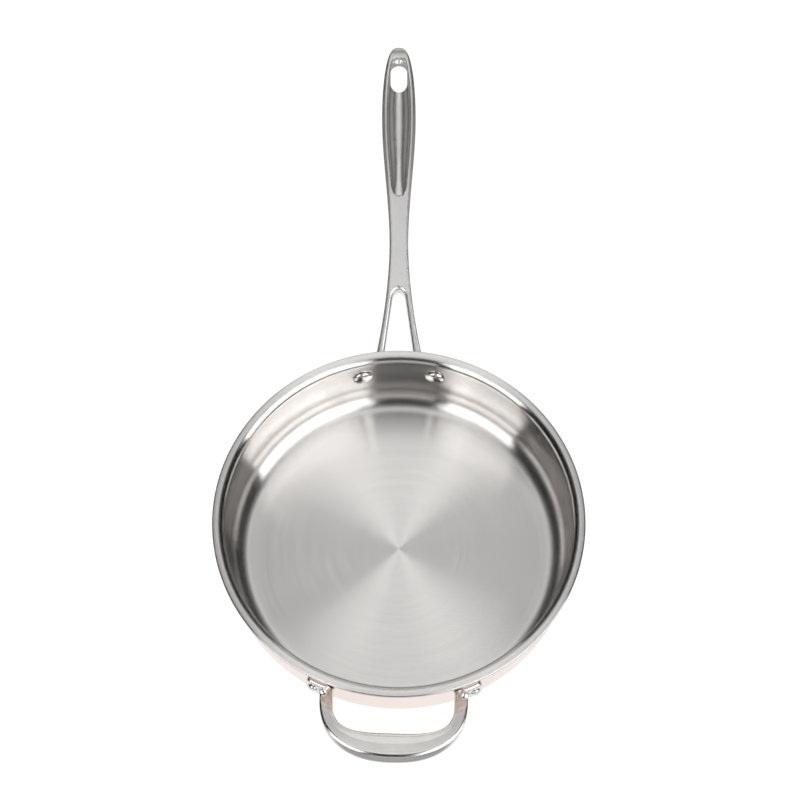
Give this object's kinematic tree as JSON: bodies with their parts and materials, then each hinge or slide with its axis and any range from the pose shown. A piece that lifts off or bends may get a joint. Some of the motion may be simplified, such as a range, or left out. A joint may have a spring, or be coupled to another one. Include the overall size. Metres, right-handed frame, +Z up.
{
  "type": "saute pan",
  "caption": "Round saute pan with straight walls and a flared lip, brushed steel inside and copper outside, with a forked long handle and a loop helper handle riveted on",
  "frame": {"origin": "On the pan's axis, at the underside of its base, where it stands on the hob", "axes": "+Z up along the pan's axis, +Y out along the long handle, -Y towards the helper handle, +X to the right seen from the helper handle"},
  "size_m": [0.284, 0.5776, 0.1077],
  "materials": {
    "brushed_steel": "stainless steel brushed in rings, satin",
    "aluminium": "bare aluminium sheet, seen only at the lip's edge",
    "copper": null,
    "cast_steel": "cast stainless steel, polished to a soft sheen",
    "polished_steel": "bright polished stainless steel"
  },
  "bodies": {
    "root": {"steel_liner": "brushed_steel", "aluminium_core": "aluminium", "copper_shell": "copper", "long_handle": "cast_steel", "helper_handle": "cast_steel", "handle_rivet_left": "polished_steel", "handle_rivet_right": "polished_steel", "helper_rivet_left": "polished_steel", "helper_rivet_right": "polished_steel"}
  },
  "joints": []
}
